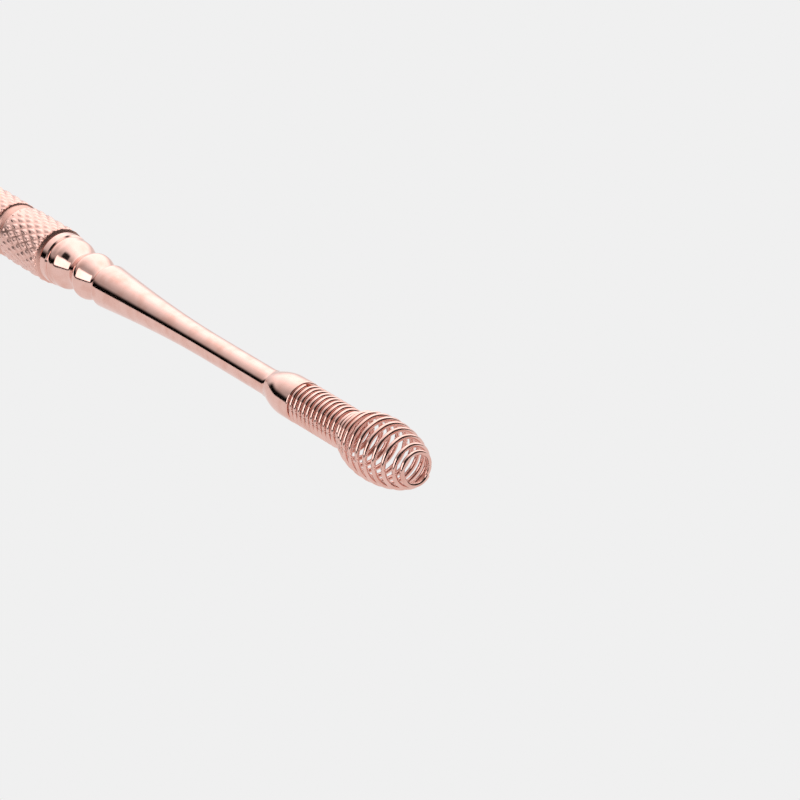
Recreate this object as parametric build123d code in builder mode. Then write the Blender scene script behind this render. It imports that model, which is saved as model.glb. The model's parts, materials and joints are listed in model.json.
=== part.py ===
from build123d import *
from math import cos, floor, pi, radians, sin, sqrt
import os

# A double-ended nail tool: a knurled barrel carries a turned stem at each end.
# The +X stem ends in a spring-wire whisk, the -X stem in a spoon-shaped cuticle pusher.
# The tool's axis is X, +Z is up, and the origin is the middle of the barrel.
# All sizes are in millimetres. Places along a stem are measured outwards from the barrel's end.

# Barrel
barrel_length = 45.0
barrel_diameter = 5.0
barrel_end_chamfer = 0.25
band_groove_place = 6.6         # from the barrel's end to the middle of the smooth band groove
band_groove_width = 1.2
band_groove_depth = 0.28
tang_diameter = 3.0
tang_length = 8.0
bore_extra_depth = 1.0          # room for the brazing alloy behind a tang
fit_clearance = 0.02            # radial gap of a brazed joint

# Turned stems: collar, two round beads and a slim waisted shank
collar_length = 0.85
collar_groove_depth = 0.12
collar_groove_place = 1.0
bead_1_diameter = 4.3
bead_1_place = 1.9
bead_groove_1_diameter = 2.9
bead_groove_1_place = 3.45
bead_2_diameter = 4.02
bead_2_place = 4.95
bead_groove_2_diameter = 2.75
bead_groove_2_place = 6.75
cone_diameter = 3.7
bead_fullness = 1.0             # higher is squarer
cone_place = 7.6
cone_slope = 0.085              # radius lost per millimetre where the cone starts
shank_diameter = 2.22
shank_place = 23.0              # where the cone has become the slim shank
shank_end = 31.0
tenon_diameter = 1.5
tenon_length = 3.0

# Ferrule that joins the wire whisk to its stem
rim_extra = 0.06                # how far the ferrule's rim stands above the shank
rim_length = 0.4
ferrule_flush = 0.02            # how far the ferrule stands proud of the coil, on the radius
ferrule_swell = 2.8             # from the rim's start to the full diameter
swell_slope = 0.4               # radius gained per millimetre where the swell starts
ferrule_length = 4.45
ferrule_edge_round = 0.12
spigot_length = 1.1

# Whisk wire: one right-handed coil, closed in the neck and open in the bulb
wire_diameter = 0.4
neck_coil_radius = 1.52         # to the middle of the wire, as are all coil radii
waist_coil_radius = 1.42
waist_taper_length = 1.0
bulb_coil_radius = 2.43
widest_from_waist = 3.6
rear_ellipse_ratio = 1.228      # half-length of the bulb's rear ellipse over the waist's distance
front_ellipse_ratio = 1.115     # the same in front of the widest ring, over the tip's distance
start_angle = 91.0              # of the cut end at the ferrule, from +Y towards +Z
neck_turns = 11.38
neck_pitch = 0.556
shoulder_turns = 2.76
shoulder_pitch = 0.692
open_turns = 6.0
open_pitch = 0.927
end_turns = 1.52
end_pitch = 0.55
points_per_turn = 12

# Pusher blade
pusher_shank_end = 35.0
blade_length = 15.5
blade_width = 4.7
blade_thickness = 0.7
blade_drop = 0.7                # how far the blade's working end dips below the axis
blade_tip_depth = 1.5           # height of the arc that rounds the working end in plan
spoon_radius = 5.0
spoon_floor = 0.42              # metal left under the deepest line of the spoon
spoon_length = 7.0
spoon_run_out = 6.0             # degrees that the hollow rises by towards its inner end
# Stations along the blade: distance from its root, width, height and drop
blade_stations = [
    (0.0, shank_diameter, shank_diameter, 0.0),
    (0.22 * blade_length, 0.62 * blade_width, 0.95 * shank_diameter, 0.0),
    (0.5 * blade_length, 0.93 * blade_width, 1.6 * blade_thickness, 0.35 * blade_drop),
    (0.75 * blade_length, blade_width, 1.2 * blade_thickness, 0.75 * blade_drop),
    (blade_length, 0.98 * blade_width, blade_thickness, blade_drop),
]

# Sizes that follow from the ones above
barrel_end = barrel_length / 2
wire_radius = wire_diameter / 2
bore_radius = tang_diameter / 2 + fit_clearance
collar_diameter = barrel_diameter - 2 * barrel_end_chamfer
collar_groove_diameter = collar_diameter - 2 * collar_groove_depth
tenon_bore_radius = tenon_diameter / 2 + fit_clearance
rim_diameter = shank_diameter + 2 * rim_extra
ferrule_diameter = 2 * (neck_coil_radius + wire_radius + ferrule_flush)
ferrule_mouth = shank_end + ferrule_length
spigot_radius = neck_coil_radius - wire_radius - fit_clearance
coil_start = ferrule_mouth + wire_radius + fit_clearance
waist_place = coil_start + neck_turns * neck_pitch
bulb_turns = shoulder_turns + open_turns
widest_place = waist_place + widest_from_waist

os.makedirs("parts", exist_ok=True)


def outward_plane(side):
    """Sketch plane of a stem: x runs outwards from the barrel's end, y is the radius."""
    return Plane(origin=(side * barrel_end, 0, 0), x_dir=(side, 0, 0), z_dir=(0, -side, 0))


def stem_outline(end_place, socket):
    """Half section of a turned stem in the current line builder, ending in a tenon or a socket."""
    tang = tang_diameter / 2
    Polyline((-tang_length, 0), (-tang_length, tang), (0, tang), (0, collar_diameter / 2))
    Line((0, collar_diameter / 2), (collar_length, collar_diameter / 2))
    Line((collar_length, collar_diameter / 2), (collar_groove_place, collar_groove_diameter / 2))
    turned = [
        (collar_groove_place, collar_groove_diameter / 2),
        (bead_1_place, bead_1_diameter / 2),
        (bead_groove_1_place, bead_groove_1_diameter / 2),
        (bead_2_place, bead_2_diameter / 2),
        (bead_groove_2_place, bead_groove_2_diameter / 2),
        (cone_place, cone_diameter / 2),
    ]
    slopes = [(1, 0.5), (1, 0), (1, 0), (1, 0), (1, 0), (1, -cone_slope)]
    Spline(*turned, tangents=slopes, tangent_scalars=[bead_fullness] * len(turned))
    Spline(
        (cone_place, cone_diameter / 2),
        (shank_place, shank_diameter / 2),
        tangents=[(1, -cone_slope), (1, 0)],
    )
    Line((shank_place, shank_diameter / 2), (end_place, shank_diameter / 2))
    if socket:
        bore_end = end_place - tenon_length - fit_clearance
        Polyline(
            (end_place, shank_diameter / 2),
            (end_place, tenon_bore_radius),
            (bore_end, tenon_bore_radius),
            (bore_end, 0),
            (-tang_length, 0),
        )
    else:
        Polyline(
            (end_place, shank_diameter / 2),
            (end_place, tenon_diameter / 2),
            (end_place + tenon_length, tenon_diameter / 2),
            (end_place + tenon_length, 0),
            (-tang_length, 0),
        )


def coil_place(turn):
    """Distance of the wire from the barrel's end after some turns from the cut start."""
    place = coil_start
    stretches = [
        (neck_turns, neck_pitch),
        (shoulder_turns, shoulder_pitch),
        (open_turns, open_pitch),
        (end_turns, end_pitch),
    ]
    for turns, pitch in stretches:
        place += min(max(turn, 0), turns) * pitch
        turn -= turns
    return place


def coil_radius(place):
    """Radius of the coil: straight neck, slight waist, then an egg of two half ellipses."""
    if place < waist_place:
        taper = max(0, 1 - (waist_place - place) / waist_taper_length)
        return neck_coil_radius + (waist_coil_radius - neck_coil_radius) * taper
    if place < widest_place:
        reach = (widest_place - place) / (rear_ellipse_ratio * widest_from_waist)
        return max(waist_coil_radius, bulb_coil_radius * sqrt(1 - reach**2))
    tip_place = coil_place(neck_turns + bulb_turns + end_turns)
    reach = (place - widest_place) / (front_ellipse_ratio * (tip_place - widest_place))
    return bulb_coil_radius * sqrt(1 - reach**2)


def wire_point(turn):
    """Middle of the wire after some turns, in the part's frame."""
    place = coil_place(turn)
    angle = radians(start_angle) + 2 * pi * turn
    return (barrel_end + place, coil_radius(place) * cos(angle), coil_radius(place) * sin(angle))


def wire_route(first_turn, last_turn):
    """Evenly spaced points along a stretch of the coil."""
    count = floor((last_turn - first_turn) * points_per_turn)
    return [wire_point(first_turn + (last_turn - first_turn) * i / count) for i in range(count + 1)]


# Barrel: a bored bar with a smooth groove near each end that parts the knurled bands
with BuildPart() as handle_barrel:
    with BuildSketch(Plane.XZ):
        with BuildLine():
            top = barrel_diameter / 2
            inner = barrel_end - tang_length - bore_extra_depth
            Polyline(
                (0, 0),
                (inner, 0),
                (inner, bore_radius),
                (barrel_end, bore_radius),
                (barrel_end, top - barrel_end_chamfer),
                (barrel_end - barrel_end_chamfer, top),
                (barrel_end - band_groove_place + band_groove_width / 2, top),
            )
            ThreePointArc(
                (barrel_end - band_groove_place + band_groove_width / 2, top),
                (barrel_end - band_groove_place, top - band_groove_depth),
                (barrel_end - band_groove_place - band_groove_width / 2, top),
            )
            Polyline((barrel_end - band_groove_place - band_groove_width / 2, top), (0, top), (0, 0))
        make_face()
    revolve(axis=Axis.X)
    mirror(about=Plane.YZ)

# Whisk stem
with BuildPart() as whisk_stem:
    with BuildSketch(outward_plane(1)):
        with BuildLine():
            stem_outline(shank_end, socket=False)
        make_face()
    revolve(axis=Axis.X)

# Ferrule: a thin rim, a swelling body and a spigot that the wire is wound on
with BuildPart() as whisk_ferrule:
    with BuildSketch(outward_plane(1)):
        with BuildLine():
            rim_end = shank_end + rim_length
            full = shank_end + ferrule_swell
            edge = ferrule_mouth - ferrule_edge_round
            top = ferrule_diameter / 2
            Polyline(
                (rim_end, rim_diameter / 2),
                (shank_end, rim_diameter / 2),
                (shank_end, tenon_bore_radius),
                (shank_end + tenon_length + fit_clearance, tenon_bore_radius),
                (shank_end + tenon_length + fit_clearance, 0),
                (ferrule_mouth + spigot_length, 0),
                (ferrule_mouth + spigot_length, spigot_radius),
                (ferrule_mouth, spigot_radius),
                (ferrule_mouth, top - ferrule_edge_round),
            )
            RadiusArc(
                (ferrule_mouth, top - ferrule_edge_round),
                (edge, top),
                -ferrule_edge_round,
            )
            Line((edge, top), (full, top))
            Spline((rim_end, rim_diameter / 2), (full, top), tangents=[(1, swell_slope), (1, 0)])
        make_face()
    revolve(axis=Axis.X)


def coil_piece(first_turn, last_turn):
    """One stretch of the whisk wire as a round bar swept along the coil."""
    route = wire_route(first_turn, last_turn)
    with BuildPart() as piece:
        with BuildLine() as path:
            Spline(*route)
        with BuildSketch(Plane(origin=path.line @ 0, z_dir=path.line % 0)):
            Circle(wire_radius)
        sweep(is_frenet=True)
    return piece


# The wire is one piece on the bench. It is cut here where its springy stretches meet.
whisk_neck_coil = coil_piece(0, neck_turns)
whisk_bulb_coil = coil_piece(neck_turns, neck_turns + bulb_turns)
whisk_tip_coil = coil_piece(neck_turns + bulb_turns, neck_turns + bulb_turns + end_turns)

# Pusher stem: the same turning, with a socket for the blade
with BuildPart() as pusher_stem:
    with BuildSketch(outward_plane(-1)):
        with BuildLine():
            stem_outline(pusher_shank_end, socket=True)
        make_face()
    revolve(axis=Axis.X)

# Pusher blade: a round root that flattens into a dipped, hollowed spoon
blade_root = -(barrel_end + pusher_shank_end)
with BuildPart() as pusher_blade:
    for reach, width, height, drop in blade_stations:
        centre = (blade_root - reach, 0, -drop)
        with BuildSketch(Plane(origin=centre, x_dir=(0, 1, 0), z_dir=(-1, 0, 0))):
            Ellipse(width / 2, height / 2)
    loft()
    with BuildSketch(Plane.XY):
        with BuildLine():
            tip = blade_root - blade_length
            half = blade_width / 2
            Polyline(
                (tip + blade_tip_depth, -half),
                (blade_root, -half),
                (blade_root, half),
                (tip + blade_tip_depth, half),
            )
            ThreePointArc((tip + blade_tip_depth, half), (tip, 0), (tip + blade_tip_depth, -half))
        make_face()
    extrude(amount=barrel_diameter, both=True, mode=Mode.INTERSECT)
    with BuildSketch(Plane.YZ.offset(blade_root - blade_length)):
        with Locations((0, spoon_floor - blade_drop - blade_thickness / 2 + spoon_radius)):
            Circle(spoon_radius)
    extrude(amount=spoon_length, taper=spoon_run_out, mode=Mode.SUBTRACT)
    with BuildSketch(Plane.YZ.offset(blade_root)):
        Circle(tenon_diameter / 2)
    extrude(amount=tenon_length)

named_parts = {
    "handle_barrel": handle_barrel,
    "whisk_stem": whisk_stem,
    "whisk_ferrule": whisk_ferrule,
    "whisk_neck_coil": whisk_neck_coil,
    "whisk_bulb_coil": whisk_bulb_coil,
    "whisk_tip_coil": whisk_tip_coil,
    "pusher_stem": pusher_stem,
    "pusher_blade": pusher_blade,
}
for name, built in named_parts.items():
    built.part.label = name
    export_step(built.part, f"parts/{name}.step")
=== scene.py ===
import bpy
import json
from math import ceil, cos, pi, radians, sin, sqrt
from mathutils import Matrix, Vector


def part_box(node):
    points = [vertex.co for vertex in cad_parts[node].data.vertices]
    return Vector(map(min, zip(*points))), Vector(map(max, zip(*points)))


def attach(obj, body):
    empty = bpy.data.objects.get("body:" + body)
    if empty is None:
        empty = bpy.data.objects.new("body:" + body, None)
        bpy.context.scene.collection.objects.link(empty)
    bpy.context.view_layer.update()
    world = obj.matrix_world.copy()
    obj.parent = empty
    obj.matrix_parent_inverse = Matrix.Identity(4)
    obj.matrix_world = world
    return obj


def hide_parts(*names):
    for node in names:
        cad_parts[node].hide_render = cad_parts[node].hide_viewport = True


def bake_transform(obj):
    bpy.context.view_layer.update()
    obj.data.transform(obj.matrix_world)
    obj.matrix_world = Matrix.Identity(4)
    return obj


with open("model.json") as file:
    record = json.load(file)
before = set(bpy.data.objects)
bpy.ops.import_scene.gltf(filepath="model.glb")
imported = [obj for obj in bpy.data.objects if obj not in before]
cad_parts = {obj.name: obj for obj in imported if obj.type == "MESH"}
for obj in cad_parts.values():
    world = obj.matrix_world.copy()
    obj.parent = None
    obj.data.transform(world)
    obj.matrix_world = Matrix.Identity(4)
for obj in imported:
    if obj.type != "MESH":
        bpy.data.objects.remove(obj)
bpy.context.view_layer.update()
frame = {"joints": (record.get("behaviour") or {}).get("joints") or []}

# A double-ended nail tool in rose-gold plated steel, lying along X with its middle at the origin.
# Sizes and places are in metres. Places along a stem are measured outwards from the barrel's end.
MM = 0.001
ROUND = 96                          # corners round a turned bar
CREASE = radians(32)                # sharper corners than this stay edges

# Barrel
BARREL_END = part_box("handle_barrel")[1][0]
BARREL_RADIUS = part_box("handle_barrel")[1][2]
CHAMFER = 0.25 * MM
BAND_GROOVE = 6.6 * MM              # middle of the smooth groove that parts the knurled bands
BAND_GROOVE_HALF = 0.6 * MM
BAND_GROOVE_DEPTH = 0.28 * MM
KNURL_ROUND = 20                    # diamonds round the bar in one row
KNURL_PITCH = 1.4 * MM
KNURL_DEPTH = 0.2 * MM
KNURL_FLANK = 0.09 * MM
KNURL_SINK = 0.03 * MM              # how far the core lies below the knurl's root
TANG_RADIUS = 1.5 * MM
TANG_SHOWN = 2.0 * MM               # length of tang that is modelled inside the barrel

# Turned stems
COLLAR_RADIUS = BARREL_RADIUS - CHAMFER
COLLAR_START = 0.11 * MM            # open joint between the collar and the knurl
COLLAR_LENGTH = 0.85 * MM
EDGE = 0.05 * MM                    # broken edges
BEADS = [                           # place and radius of each crest and groove, up to the cone
    (1.0 * MM, 2.13 * MM),
    (1.9 * MM, 2.15 * MM),
    (3.45 * MM, 1.45 * MM),
    (4.95 * MM, 2.01 * MM),
    (6.75 * MM, 1.375 * MM),
    (7.6 * MM, 1.85 * MM),
]
FIRST_BEAD_SLOPE = 0.5
CONE_SLOPE = 0.085
SHANK = 23.0 * MM
SHANK_RADIUS = 1.11 * MM
BEAD_STEPS = 14
CONE_STEPS = 24
WHISK_SHANK_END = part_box("whisk_ferrule")[0][0] - BARREL_END
PUSHER_SHANK_END = 35.0 * MM

# Ferrule
RIM_RADIUS = SHANK_RADIUS + 0.06 * MM
RIM_LENGTH = 0.4 * MM
SWELL = 2.8 * MM
SWELL_SLOPE = 0.4
FERRULE_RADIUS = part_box("whisk_ferrule")[1][2]
FERRULE_BORE = 0.9 * SHANK_RADIUS
FERRULE_STEPS = 20
MOUTH_ROUND = 0.12 * MM
MOUTH_STEPS = 4
SPIGOT = 1.1 * MM
SPIGOT_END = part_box("whisk_ferrule")[1][0] - BARREL_END
MOUTH = SPIGOT_END - SPIGOT

# Wire
WIRE_RADIUS = 0.2 * MM
FIT_GAP = 0.02 * MM
NECK_RADIUS = 1.52 * MM
WAIST_RADIUS = 1.42 * MM
WAIST_TAPER = 1.0 * MM
BULB_RADIUS = 2.43 * MM
WIDEST_FROM_WAIST = 3.6 * MM
REAR_RATIO = 1.228
FRONT_RATIO = 1.115
START_ANGLE = 91.0
STRETCHES = [                       # turns and pitch: neck, shoulder, open bulb, end ring
    (11.38, 0.556 * MM),
    (2.76, 0.692 * MM),
    (6.0, 0.927 * MM),
    (1.52, 0.55 * MM),
]
COIL_START = MOUTH + WIRE_RADIUS + FIT_GAP
WAIST = COIL_START + STRETCHES[0][0] * STRETCHES[0][1]
WIDEST = WAIST + WIDEST_FROM_WAIST
ALL_TURNS = sum(turns for turns, _ in STRETCHES)
POINTS_PER_TURN = 64
WIRE_CREASE = radians(40)
BULB_CUT = 0.3 * MM                 # past the waist
SQUEEZE_START = 0.6 * MM            # past the waist
SQUEEZE_PAST_TIP = 0.5 * MM         # how far into the tip coil the squeeze still spreads

# Pusher blade
BLADE_ROOT = -(BARREL_END + PUSHER_SHANK_END)
BLADE_LENGTH = BLADE_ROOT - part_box("pusher_blade")[0][0]
BLADE = [                           # part of the length, half width, half height and dip
    (0.0, SHANK_RADIUS, SHANK_RADIUS, 0.0),
    (0.22, 1.457 * MM, 1.054 * MM, 0.0),
    (0.5, 2.185 * MM, 0.56 * MM, 0.245 * MM),
    (0.75, 2.34 * MM, 0.42 * MM, 0.525 * MM),
    (0.9, 2.33 * MM, 0.37 * MM, 0.64 * MM),
]
BLADE_STEPS = 8                     # sections between two of those
BLADE_EASE = 0.4                    # how much of each change is eased instead of even
BLADE_NOSE = 1.5 * MM               # length of the rounded working end
NOSE_GAP = 0.1 * MM
NOSE_STEPS = 11
NOSE_ANGLE = radians(87)
NOSE_HALF_WIDTH = 2.33 * MM
NOSE_HALF_HEIGHT = 0.35 * MM
NOSE_THINNING = 0.35
NOSE_DIP = 0.66 * MM
SPOON_DEPTH = 0.26 * MM
SPOON_LENGTH = 7.0 * MM
SPOON_HALF_WIDTH = 1.9 * MM
SPOON_STEPS = 12

ROSE_GOLD = (0.85, 0.54, 0.475, 1)
# the deeper tone drifts at random over the plating, and on the knurl it is also painted shade in the valleys
ROSE_GOLD_DEEP = (0.76, 0.43, 0.36, 1)


# ---------------------------------------------------------------- shaders

class Value:
    """A shader socket that takes part in Python arithmetic."""

    def __init__(self, tree, socket):
        self.tree = tree
        self.socket = socket

    def math(self, operation, *values):
        return self.tree.put("ShaderNodeMath", {"operation": operation}, dict(enumerate(values)))

    def __add__(self, other):
        return self.math("ADD", self, other)

    def __rsub__(self, other):
        return self.math("SUBTRACT", other, self)

    def __mul__(self, other):
        return self.math("MULTIPLY", self, other)

    def __pow__(self, other):
        return self.math("POWER", self, other)

    __radd__ = __add__


class Nodes:
    """A node tree. put() adds one node and gives back one of its outputs."""

    def __init__(self, tree):
        self.tree = tree

    def put(self, kind, settings=None, inputs=None, output=0):
        node = self.tree.nodes.new(kind)
        for name, setting in (settings or {}).items():
            setattr(node, name, setting)
        for key, value in (inputs or {}).items():
            self.feed(node.inputs[key], value)
        return Value(self, node.outputs[output])

    def feed(self, socket, value):
        if isinstance(value, Value):
            self.tree.links.new(value.socket, socket)
        else:
            socket.default_value = value

    def place(self):
        """Object coordinates."""
        return self.put("ShaderNodeTexCoord", output="Object")

    def apart(self, vector):
        """The three numbers of a vector."""
        node = self.put("ShaderNodeSeparateXYZ", inputs={0: vector}).socket.node
        return [Value(self, node.outputs[i]) for i in range(3)]

    def stretched(self, numbers, scales):
        """A vector whose three numbers are each scaled on their own."""
        scaled = {i: number * scale for i, (number, scale) in enumerate(zip(numbers, scales))}
        return self.put("ShaderNodeCombineXYZ", None, scaled)

    def noise(self, vector, scale, detail=2.0, roughness=0.5):
        return self.put("ShaderNodeTexNoise", None,
                        {"Vector": vector, "Scale": scale, "Detail": detail, "Roughness": roughness})

    def ramp(self, value, low, high, to_low=0.0, to_high=1.0):
        """A smooth step from to_low to to_high as value goes from low to high."""
        return self.put("ShaderNodeMapRange", {"interpolation_type": "SMOOTHSTEP"},
                        {0: value, 1: low, 2: high, 3: to_low, 4: to_high})

    def colours(self, factor, first, second):
        return self.put("ShaderNodeMix", {"data_type": "RGBA"}, {0: factor, 6: first, 7: second}, 2)


def new_metal(name):
    material = bpy.data.materials.new(name)
    material.use_nodes = True
    nodes = Nodes(material.node_tree)
    shader = material.node_tree.nodes["Principled BSDF"]
    shader.inputs["Metallic"].default_value = 1.0
    return material, nodes, shader


def plating(nodes, shader, place, roughness, spread):
    """Colour and gloss that drift slightly over the plating."""
    cloud = nodes.noise(place, 900.0, 3.0)
    tone = nodes.colours(nodes.ramp(cloud, 0.35, 0.8), ROSE_GOLD, ROSE_GOLD_DEEP)
    nodes.feed(shader.inputs["Base Color"], tone)
    smear = nodes.noise(place, 260.0, 4.0, 0.6)
    nodes.feed(shader.inputs["Roughness"], roughness + smear * spread)


def polished_rose_gold():
    """Turned and buffed metal: fine rings left by the lathe and a few hair scratches."""
    material, nodes, shader = new_metal("polished_rose_gold")
    place = nodes.place()
    x, y, z = nodes.apart(place)
    plating(nodes, shader, place, 0.06, 0.08)
    rings = nodes.noise(nodes.stretched((x, y, z), (9000.0, 300.0, 300.0)), 1.0)
    hairs = nodes.noise(nodes.stretched((x, y, z), (500.0, 9000.0, 9000.0)), 1.0)
    marks = rings * 0.7 + nodes.ramp(hairs, 0.62, 0.7) * 0.3
    bump = nodes.put("ShaderNodeBump", None, {"Strength": 0.08, "Distance": 0.01 * MM, "Height": marks})
    nodes.feed(shader.inputs["Normal"], bump)
    return material


def rose_gold_wire():
    """Drawn spring wire, polished, with slightly cloudy plating."""
    material, nodes, shader = new_metal("rose_gold_wire")
    place = nodes.place()
    plating(nodes, shader, place, 0.07, 0.10)
    drawn = nodes.noise(place, 14000.0, 2.0)
    bump = nodes.put("ShaderNodeBump", None, {"Strength": 0.06, "Distance": 0.01 * MM, "Height": drawn})
    nodes.feed(shader.inputs["Normal"], bump)
    return material


def knurled_rose_gold():
    """Rolled knurl: worn crests glossier than the valleys, with painted shade that darkens the base colour
    down in the valleys.
    """
    material, nodes, shader = new_metal("knurled_rose_gold")
    place = nodes.place()
    x, y, z = nodes.apart(place)
    height = (y * y + z * z) ** 0.5
    crest = nodes.ramp(height, BARREL_RADIUS - KNURL_DEPTH, BARREL_RADIUS - 0.3 * KNURL_DEPTH)
    cloud = nodes.noise(place, 700.0, 3.0)
    # painted shade: the base colour is mixed towards the deeper tone down in the knurl's valleys, with a
    # little random plating tone from the noise
    tone = nodes.colours(crest * 0.8 + cloud * 0.2, ROSE_GOLD_DEEP, ROSE_GOLD)
    nodes.feed(shader.inputs["Base Color"], tone)
    nodes.feed(shader.inputs["Roughness"], 0.34 - crest * 0.12 + cloud * 0.08)
    grain = nodes.noise(place, 9000.0, 3.0)
    bump = nodes.put("ShaderNodeBump", None, {"Strength": 0.15, "Distance": 0.02 * MM, "Height": grain})
    nodes.feed(shader.inputs["Normal"], bump)
    return material


# ---------------------------------------------------------------- shaping

def new_piece(name):
    """The object just added, alone in the selection, with its place put into its mesh."""
    piece = bpy.context.active_object
    piece.name = name
    piece.data.name = name
    bpy.ops.object.transform_apply(location=True, rotation=True, scale=True)
    return piece


def choose(piece, part, test):
    """Selects the faces or edges of the piece that pass a test, and leaves it in edit mode."""
    bpy.ops.object.mode_set(mode="EDIT")
    bpy.ops.mesh.select_mode(type=part)
    bpy.ops.mesh.select_all(action="DESELECT")
    bpy.ops.object.mode_set(mode="OBJECT")
    points = piece.data.vertices
    for item in piece.data.polygons if part == "FACE" else piece.data.edges:
        item.select = test([points[i].co for i in item.vertices])
    bpy.ops.object.mode_set(mode="EDIT")


def turned_bar(name, stations):
    """A closed bar turned about X. Each station is a place along X and a radius there."""
    bpy.ops.object.select_all(action="DESELECT")
    x, radius = stations[0]
    bpy.ops.mesh.primitive_circle_add(
        vertices=ROUND, radius=radius, fill_type="TRIFAN", location=(x, 0, 0), rotation=(0, pi / 2, 0)
    )
    piece = new_piece(name)
    bpy.ops.object.mode_set(mode="EDIT")
    bpy.ops.mesh.select_all(action="SELECT")
    for next_x, next_radius in stations[1:]:
        bpy.ops.mesh.extrude_region_move(TRANSFORM_OT_translate={"value": (next_x - x, 0, 0)})
        grow = next_radius / radius
        bpy.ops.transform.resize(value=(1, grow, grow), center_override=(next_x, 0, 0))
        x, radius = next_x, next_radius
    bpy.ops.mesh.select_all(action="SELECT")
    bpy.ops.mesh.normals_make_consistent(inside=False)
    bpy.ops.object.mode_set(mode="OBJECT")
    bpy.ops.object.shade_smooth_by_angle(angle=CREASE)
    return piece


def eased(start, end, slopes, steps):
    """Points of a smooth curve from start to end, without start. Slopes are radius over length."""
    length = end[0] - start[0]
    rise = end[1] - start[1]
    points = []
    for i in range(1, steps + 1):
        u = i / steps
        lead = (u**3 - 2 * u**2 + u) * slopes[0] * length
        trail = (u**3 - u**2) * slopes[1] * length
        points.append((start[0] + u * length, start[1] + lead + trail + (3 * u**2 - 2 * u**3) * rise))
    return points


def stem_stations():
    """Half section of a turned stem, from its tang to the slim end of the cone."""
    stations = [
        (-TANG_SHOWN, TANG_RADIUS),
        (COLLAR_START, TANG_RADIUS),
        (COLLAR_START, COLLAR_RADIUS - EDGE),
        (COLLAR_START + EDGE, COLLAR_RADIUS),
        (COLLAR_LENGTH, COLLAR_RADIUS),
        BEADS[0],
    ]
    slopes = [FIRST_BEAD_SLOPE, 0, 0, 0, 0, -CONE_SLOPE]
    for i in range(1, len(BEADS)):
        stations += eased(BEADS[i - 1], BEADS[i], (slopes[i - 1], slopes[i]), BEAD_STEPS)
    stations += eased(BEADS[-1], (SHANK, SHANK_RADIUS), (-CONE_SLOPE, 0), CONE_STEPS)
    return stations


def outwards(side, stations):
    """Stations measured from a barrel end, put in place along X."""
    return [(side * (BARREL_END + place), radius) for place, radius in stations]


def knurled_band(name, start, end):
    """A band of raised diamonds round the barrel, closed at both ends."""
    root = BARREL_RADIUS - KNURL_DEPTH
    rows = round((end - start) / KNURL_PITCH)
    bpy.ops.object.select_all(action="DESELECT")
    bpy.ops.mesh.primitive_circle_add(
        vertices=KNURL_ROUND, radius=root, fill_type="NGON", location=(start, 0, 0), rotation=(0, pi / 2, 0)
    )
    band = new_piece(name)
    bpy.ops.object.mode_set(mode="EDIT")
    bpy.ops.mesh.select_all(action="SELECT")
    for _ in range(rows):
        bpy.ops.mesh.extrude_region_move(TRANSFORM_OT_translate={"value": ((end - start) / rows, 0, 0)})
    bpy.ops.mesh.select_all(action="SELECT")
    bpy.ops.mesh.normals_make_consistent(inside=False)
    choose(band, "FACE", lambda points: len(points) == 4)
    bpy.ops.mesh.poke(offset=root * (1 - cos(pi / KNURL_ROUND)))

    def on_grid(points):
        """The square grid's edges inside the band, which part the diamonds' halves."""
        first, second = points
        along = abs(first.x - second.x)
        inner = start + EDGE < first.x < end - EDGE
        level = along < EDGE / 10 and inner
        return level or (along > 0.9 * (end - start) / rows)

    choose(band, "EDGE", on_grid)
    bpy.ops.mesh.dissolve_edges(use_verts=False)
    choose(band, "FACE", lambda points: len(points) < KNURL_ROUND)
    bpy.ops.mesh.inset(thickness=KNURL_FLANK, depth=KNURL_DEPTH, use_individual=True)
    bpy.ops.object.mode_set(mode="OBJECT")
    soften = band.modifiers.new("soften", "SUBSURF")
    soften.levels = soften.render_levels = 1
    bpy.ops.object.modifier_apply(modifier=soften.name)
    bpy.ops.object.shade_smooth()
    return band


def make_handle():
    """Knurled barrel: a turned core with a smooth groove near each end, and three knurled bands."""
    core = BARREL_RADIUS - KNURL_DEPTH - KNURL_SINK
    land = BARREL_RADIUS - KNURL_DEPTH / 2
    middle = BARREL_END - BAND_GROOVE
    half = [
        (BARREL_END, COLLAR_RADIUS - CHAMFER),
        (BARREL_END - CHAMFER, land),
        (BARREL_END - 2 * CHAMFER, core),
    ]
    for degrees in range(90, -91, -15):
        angle = radians(degrees)
        half.append((middle + BAND_GROOVE_HALF * sin(angle), land - BAND_GROOVE_DEPTH * cos(angle)))
    half.append((middle - BAND_GROOVE_HALF - CHAMFER, core))
    stations = half + [(-x, radius) for x, radius in reversed(half)]
    handle = turned_bar("knurled_handle", stations)
    inner = BARREL_END - BAND_GROOVE - BAND_GROOVE_HALF
    outer = BARREL_END - BAND_GROOVE + BAND_GROOVE_HALF
    bands = [
        knurled_band("middle_band", -inner, inner),
        knurled_band("whisk_band", outer, BARREL_END - CHAMFER),
        knurled_band("pusher_band", CHAMFER - BARREL_END, -outer),
    ]
    bpy.ops.object.select_all(action="DESELECT")
    for piece in bands + [handle]:
        piece.select_set(True)
    bpy.context.view_layer.objects.active = handle
    bpy.ops.object.join()
    return handle


def make_whisk_stem():
    """Turned stem of the whisk, ending where the ferrule hides its tenon."""
    stations = stem_stations() + [(WHISK_SHANK_END, SHANK_RADIUS)]
    return turned_bar("turned_whisk_stem", outwards(1, stations))


def make_pusher_stem():
    """Turned stem of the pusher, running into the blade."""
    stations = stem_stations() + [(PUSHER_SHANK_END, SHANK_RADIUS)]
    return turned_bar("turned_pusher_stem", outwards(-1, stations))


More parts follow.
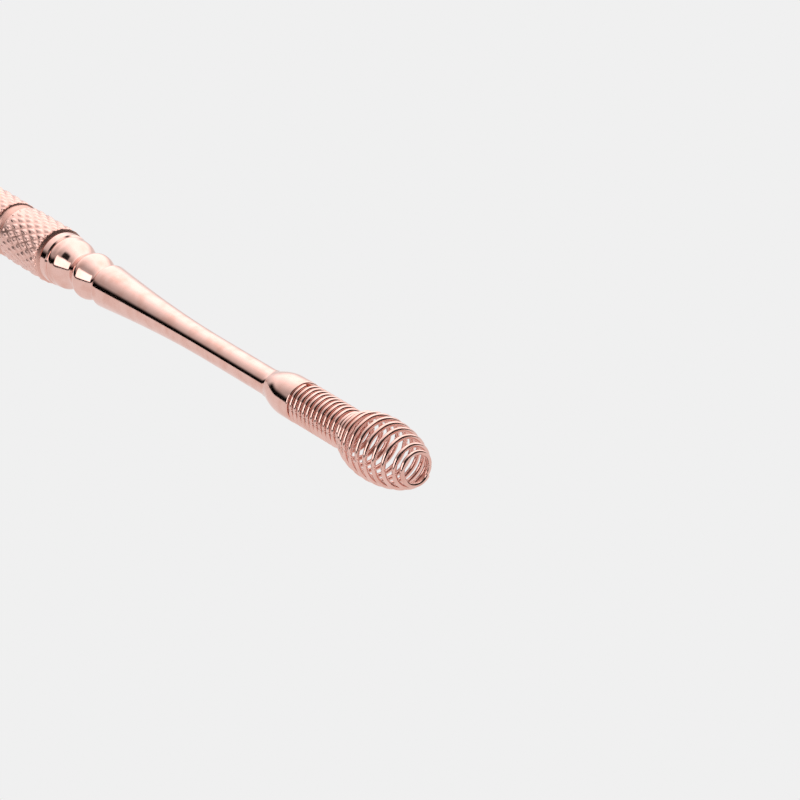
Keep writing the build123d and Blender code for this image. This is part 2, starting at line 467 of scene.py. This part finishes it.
def make_ferrule():
    """Ferrule: thin rim, swelling body, rounded mouth and the spigot inside the wire."""
    rim_end = WHISK_SHANK_END + RIM_LENGTH
    full = WHISK_SHANK_END + SWELL
    spigot_radius = NECK_RADIUS - WIRE_RADIUS - FIT_GAP
    stations = [
        (WHISK_SHANK_END, FERRULE_BORE),
        (WHISK_SHANK_END, RIM_RADIUS - EDGE),
        (WHISK_SHANK_END + EDGE, RIM_RADIUS),
        (rim_end, RIM_RADIUS),
    ]
    stations += eased((rim_end, RIM_RADIUS), (full, FERRULE_RADIUS), (SWELL_SLOPE, 0), FERRULE_STEPS)
    for step in range(MOUTH_STEPS + 1):
        angle = pi / 2 * step / MOUTH_STEPS
        place = MOUTH - MOUTH_ROUND * (1 - sin(angle))
        stations.append((place, FERRULE_RADIUS - MOUTH_ROUND * (1 - cos(angle))))
    stations += [
        (MOUTH, spigot_radius),
        (SPIGOT_END - EDGE, spigot_radius),
        (SPIGOT_END, spigot_radius - EDGE),
    ]
    return turned_bar("whisk_ferrule_shell", outwards(1, stations))


# ---------------------------------------------------------------- wire

def coil_place(turn):
    """Distance of the wire from the barrel's end after some turns from its cut start."""
    place = COIL_START
    for turns, pitch in STRETCHES:
        place += min(max(turn, 0), turns) * pitch
        turn -= turns
    return place


def coil_radius(place):
    """Radius of the coil: straight neck, slight waist, then an egg of two half ellipses."""
    if place < WAIST:
        taper = max(0, 1 - (WAIST - place) / WAIST_TAPER)
        return NECK_RADIUS + (WAIST_RADIUS - NECK_RADIUS) * taper
    if place < WIDEST:
        reach = (WIDEST - place) / (REAR_RATIO * WIDEST_FROM_WAIST)
        return max(WAIST_RADIUS, BULB_RADIUS * sqrt(1 - reach**2))
    reach = (place - WIDEST) / (FRONT_RATIO * (coil_place(ALL_TURNS) - WIDEST))
    return BULB_RADIUS * sqrt(1 - reach**2)


def wire_point(turn):
    """Middle of the wire after some turns."""
    place = coil_place(turn)
    angle = radians(START_ANGLE) + 2 * pi * turn
    return Vector((BARREL_END + place, coil_radius(place) * cos(angle), coil_radius(place) * sin(angle)))


def coil_piece(name, first_turn, last_turn):
    """One stretch of the spring wire as a round closed bar."""
    count = ceil((last_turn - first_turn) * POINTS_PER_TURN)
    curve = bpy.data.curves.new(name, "CURVE")
    curve.dimensions = "3D"
    curve.bevel_depth = WIRE_RADIUS
    curve.bevel_resolution = 8
    curve.use_fill_caps = True
    curve.twist_mode = "Z_UP"
    spline = curve.splines.new("POLY")
    spline.points.add(count)
    for i, point in enumerate(spline.points):
        point.co = (*wire_point(first_turn + (last_turn - first_turn) * i / count), 1)
    piece = bpy.data.objects.new(name, curve)
    bpy.context.scene.collection.objects.link(piece)
    bpy.ops.object.select_all(action="DESELECT")
    piece.select_set(True)
    bpy.context.view_layer.objects.active = piece
    bpy.ops.object.convert(target="MESH")
    bpy.ops.object.mode_set(mode="EDIT")
    bpy.ops.mesh.select_all(action="SELECT")
    bpy.ops.mesh.remove_doubles(threshold=0.001 * MM)
    bpy.ops.mesh.normals_make_consistent(inside=False)
    bpy.ops.object.mode_set(mode="OBJECT")
    bpy.ops.object.shade_smooth_by_angle(angle=WIRE_CREASE)
    return piece


def turn_at(x):
    """How many turns the wire has made where it reaches a place along X, by halving."""
    low, high = 0.0, ALL_TURNS
    for _ in range(40):
        middle = (low + high) / 2
        low, high = (middle, high) if BARREL_END + coil_place(middle) < x else (low, middle)
    return low


# ---------------------------------------------------------------- blade

def blade_sections():
    """Sections from the root to the working end: place along X, half width, half height and dip."""
    sections = []
    straight = BLADE_ROOT - BLADE_LENGTH + BLADE_NOSE
    for first, second in zip(BLADE, BLADE[1:]):
        for step in range(BLADE_STEPS):
            u = step / BLADE_STEPS
            share = BLADE_EASE * (3 * u**2 - 2 * u**3) + (1 - BLADE_EASE) * u
            place = BLADE_ROOT - BLADE_LENGTH * (first[0] + (second[0] - first[0]) * u)
            if place > straight + NOSE_GAP:
                shape = [a + (b - a) * share for a, b in zip(first[1:], second[1:])]
                sections.append((place, *shape))
    for step in range(NOSE_STEPS):
        angle = NOSE_ANGLE * step / (NOSE_STEPS - 1)
        place = straight - BLADE_NOSE * sin(angle)
        height = NOSE_HALF_HEIGHT * cos(angle) ** NOSE_THINNING
        sections.append((place, NOSE_HALF_WIDTH * cos(angle), height, NOSE_DIP))
    return sections


def make_blade():
    """Spoon-shaped cuticle blade: the shank flattens and widens, dips, and is hollowed on top."""
    sections = blade_sections()
    x, width, height, dip = sections[0]
    bpy.ops.object.select_all(action="DESELECT")
    bpy.ops.mesh.primitive_circle_add(
        vertices=ROUND, radius=SHANK_RADIUS, fill_type="NGON", location=(x, 0, 0), rotation=(0, pi / 2, 0)
    )
    blade = new_piece("spoon_blade")
    bpy.ops.object.mode_set(mode="EDIT")
    bpy.ops.mesh.select_all(action="SELECT")
    for next_x, next_width, next_height, next_dip in sections[1:]:
        bpy.ops.mesh.extrude_region_move(TRANSFORM_OT_translate={"value": (next_x - x, 0, dip - next_dip)})
        bpy.ops.transform.resize(
            value=(1, next_width / width, next_height / height), center_override=(next_x, 0, -next_dip)
        )
        x, width, height, dip = next_x, next_width, next_height, next_dip
    bpy.ops.mesh.select_all(action="SELECT")
    bpy.ops.mesh.normals_make_consistent(inside=False)
    for step in range(SPOON_STEPS):
        shrink = cos(pi / 2 * step / SPOON_STEPS)
        reach = SPOON_HALF_WIDTH * shrink
        inner = BLADE_ROOT - BLADE_LENGTH + SPOON_LENGTH * shrink

        def over_spoon(points):
            """Faces on top of the blade that lie within this step of the hollow."""
            on_top = min(point.z for point in points) > -NOSE_DIP
            return on_top and all(abs(point.y) < reach and point.x < inner for point in points)

        choose(blade, "FACE", over_spoon)
        bpy.ops.transform.translate(value=(0, 0, -SPOON_DEPTH / SPOON_STEPS))
    bpy.ops.object.mode_set(mode="OBJECT")
    bpy.ops.object.shade_smooth_by_angle(angle=CREASE)
    return blade


# ---------------------------------------------------------------- studio

def make_camera():
    """A long lens looking down on the whisk from its tip's side."""
    azimuth, elevation = radians(54.06), radians(25.04)
    aim = Vector((0.0680, 0.00186, 0.00357))
    distance = 0.3368
    back = Vector((sin(azimuth) * cos(elevation), -cos(azimuth) * cos(elevation), sin(elevation)))
    right = Vector((cos(azimuth), sin(azimuth), 0))
    up = back.cross(right)
    camera_data = bpy.data.cameras.new("camera")
    camera_data.lens = 200
    camera_data.clip_start = 0.001
    camera = bpy.data.objects.new("camera", camera_data)
    bpy.context.scene.collection.objects.link(camera)
    turn = Matrix((right, up, back)).transposed().to_4x4()
    turn.translation = aim + back * distance
    camera.matrix_world = turn
    bpy.context.scene.camera = camera


def make_floor():
    """A pale floor that shines evenly, well under the tool."""
    bpy.ops.object.select_all(action="DESELECT")
    bpy.ops.mesh.primitive_plane_add(size=1, location=(0, 1.55, -0.08))
    floor = bpy.context.active_object
    floor.name = "floor"
    floor.scale = (8, 4.9, 1)
    material = bpy.data.materials.new("pale_floor")
    material.use_nodes = True
    material.node_tree.nodes.clear()
    nodes = Nodes(material.node_tree)
    shine = nodes.put("ShaderNodeEmission", None, {"Color": (1, 1, 1, 1), "Strength": 0.871})
    out = material.node_tree.nodes.new("ShaderNodeOutputMaterial")
    nodes.feed(out.inputs["Surface"], shine)
    floor.data.materials.append(material)
    floor.visible_shadow = False


def light_studio():
    """A soft sky that is brightest behind the tool, with a bright panel in front and dark gaps."""
    world = bpy.data.worlds.new("studio")
    world.use_nodes = True
    bpy.context.scene.world = world
    nodes = Nodes(world.node_tree)
    x, y, z = nodes.apart(nodes.put("ShaderNodeTexCoord", output="Generated"))
    # the sky grows brighter from front to back, and a little dimmer near the horizon
    sky = nodes.put("ShaderNodeMapRange", None, {0: y, 1: -0.62, 2: 0.22, 3: 0.5, 4: 1.78})
    low = nodes.ramp(z, -0.05, 0.45, 0.45, 1.0)
    front = nodes.ramp(y, -0.30, -0.10, 1.0, 0.0)
    # in front it stops well above the horizon, and on the whisk's side there is next to none
    gap = nodes.ramp(z, 0.15, 0.38)
    sky = sky * (front * gap + (1 - front) * low)
    right_side = nodes.ramp(x, 0.08, 0.2) * nodes.ramp(z, 0.85, 0.95, 1.0, 0.0)
    sky = sky * (1 - right_side * 0.97)
    # one bright panel stands in front
    across = nodes.ramp(x, -0.5, -0.42) * nodes.ramp(x, 0.34, 0.42, 1.0, 0.0)
    upright = nodes.ramp(z, 0.0, 0.05) * nodes.ramp(z, 0.55, 0.65, 1.0, 0.0)
    panel = nodes.ramp(y, -0.76, -0.68, 1.0, 0.0) * across * upright
    background = world.node_tree.nodes["Background"]
    background.inputs["Color"].default_value = (1, 1, 1, 1)
    nodes.feed(background.inputs["Strength"], sky * (1 - panel) + panel * 2.0)


def finish_piece(piece, slot, body, *nodes):
    """Paints a piece, hides the CAD parts it stands for, and hangs it on a body when one is given."""
    piece.data.materials.clear()
    piece.data.materials.append(metals[slot])
    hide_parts(*nodes)
    if body:
        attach(piece, body)


def make_spring(name, node, turns):
    """A stretch of the wire that stands for one part, painted, hung on no body, and with its place baked
    into its mesh.
    """
    coil = coil_piece(name, *turns)
    finish_piece(coil, "rose_gold_wire", None, node)
    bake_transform(coil)


metals = {
    "knurled_rose_gold": knurled_rose_gold(),
    "polished_rose_gold": polished_rose_gold(),
    "rose_gold_wire": rose_gold_wire(),
}
make_camera()
make_floor()
light_studio()
finish_piece(make_handle(), "knurled_rose_gold", "handle", "handle_barrel")
finish_piece(make_whisk_stem(), "polished_rose_gold", "handle", "whisk_stem")
finish_piece(make_pusher_stem(), "polished_rose_gold", "handle", "pusher_stem")
finish_piece(make_ferrule(), "polished_rose_gold", "handle", "whisk_ferrule")
finish_piece(make_blade(), "polished_rose_gold", "handle", "pusher_blade")

joints = {joint["name"]: joint for joint in frame["joints"]}
nod = joints["whisk_nod"]["pos_m"][0]
sway = joints["whisk_sway"]["pos_m"][0]
neck_cut = turn_at((nod + sway) / 2)
bulb_cut = turn_at(BARREL_END + WAIST + BULB_CUT)
squeezed = (BARREL_END + WAIST + SQUEEZE_START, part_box("whisk_tip_coil")[0][0] + SQUEEZE_PAST_TIP)
make_spring("neck_coil", "whisk_neck_coil", (0, neck_cut))
make_spring("waist_coil", "whisk_bulb_coil", (neck_cut, bulb_cut))
make_spring("bulb_coil", "whisk_tip_coil", (bulb_cut, ALL_TURNS))

bpy.context.scene.view_settings.view_transform = "Standard"
